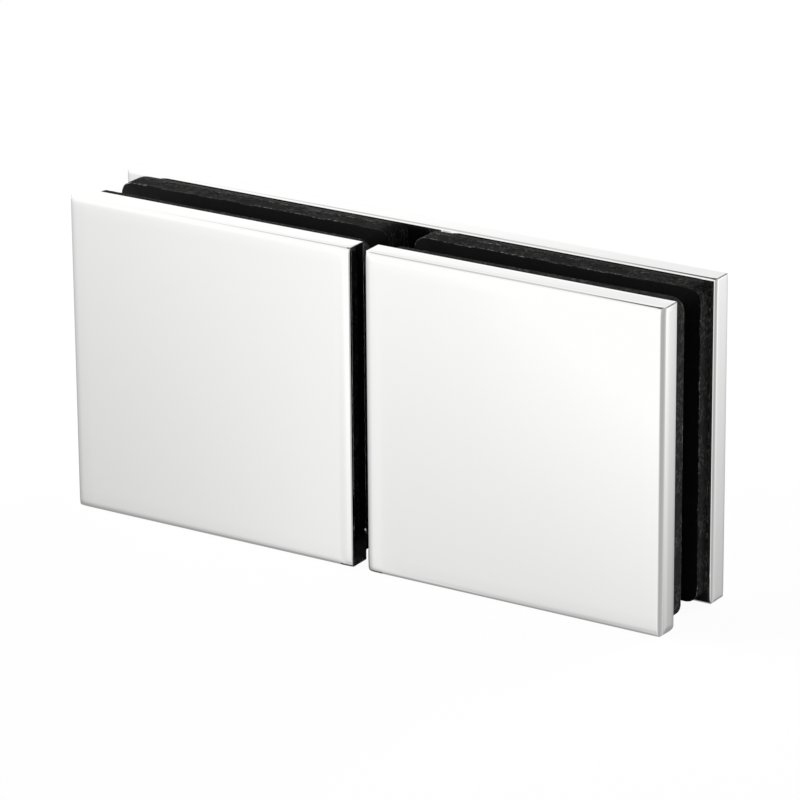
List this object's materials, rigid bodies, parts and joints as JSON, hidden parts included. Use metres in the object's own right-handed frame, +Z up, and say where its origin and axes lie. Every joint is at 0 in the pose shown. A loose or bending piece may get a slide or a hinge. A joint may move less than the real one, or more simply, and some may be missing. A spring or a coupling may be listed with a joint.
{
  "type": "glass clamp",
  "caption": "Square-edged polished clamp that holds glass panels edge to edge in one plane: a long back plate and square front plates grip the glass between rubber gaskets.",
  "frame": {"origin": "bottom of the plates, half-way between the panels and half-way through the thickness of the glass", "axes": "+X along the pair of panels, to the right as seen from the front plates; +Y from the front plates to the back plate; +Z up"},
  "size_m": [0.1126, 0.021, 0.055],
  "materials": {
    "polished_plate": "mirror-polished chrome plate with softly rounded edges",
    "gasket_rubber": "matt black rubber with rough die-cut edges",
    "sleeve_nylon": "natural nylon, slightly translucent",
    "screw_steel": "bright turned steel"
  },
  "bodies": {
    "back": {"back_plate": "polished_plate", "left_back_gasket": "gasket_rubber", "right_back_gasket": "gasket_rubber"},
    "left_front": {"left_front_plate": "polished_plate", "left_front_gasket": "gasket_rubber", "left_sleeve": "sleeve_nylon"},
    "right_front": {"right_front_plate": "polished_plate", "right_front_gasket": "gasket_rubber", "right_sleeve": "sleeve_nylon"},
    "left_screw": {"left_screw": "screw_steel"},
    "right_screw": {"right_screw": "screw_steel"}
  },
  "joints": [
    {"name": "left_clamp_slide", "type": "slide", "parent": "back", "child": "left_front", "axis": [0, -1, 0], "range_m": [0, 0.004]},
    {"name": "right_clamp_slide", "type": "slide", "parent": "back", "child": "right_front", "axis": [0, -1, 0], "range_m": [0, 0.004]},
    {"name": "left_screw_turn", "type": "hinge", "parent": "back", "child": "left_screw", "pos_m": [-0.0288, 0.0104, 0.0275], "axis": [0, 1, 0], "range_deg": [0, 1440]},
    {"name": "right_screw_turn", "type": "hinge", "parent": "back", "child": "right_screw", "pos_m": [0.0288, 0.0104, 0.0275], "axis": [0, 1, 0], "range_deg": [0, 1440]}
  ],
  "couplings": [
    {"joint": "left_screw_turn", "follows": "left_clamp_slide", "rad_per_m": 6283.2},
    {"joint": "right_screw_turn", "follows": "right_clamp_slide", "rad_per_m": 6283.2}
  ]
}
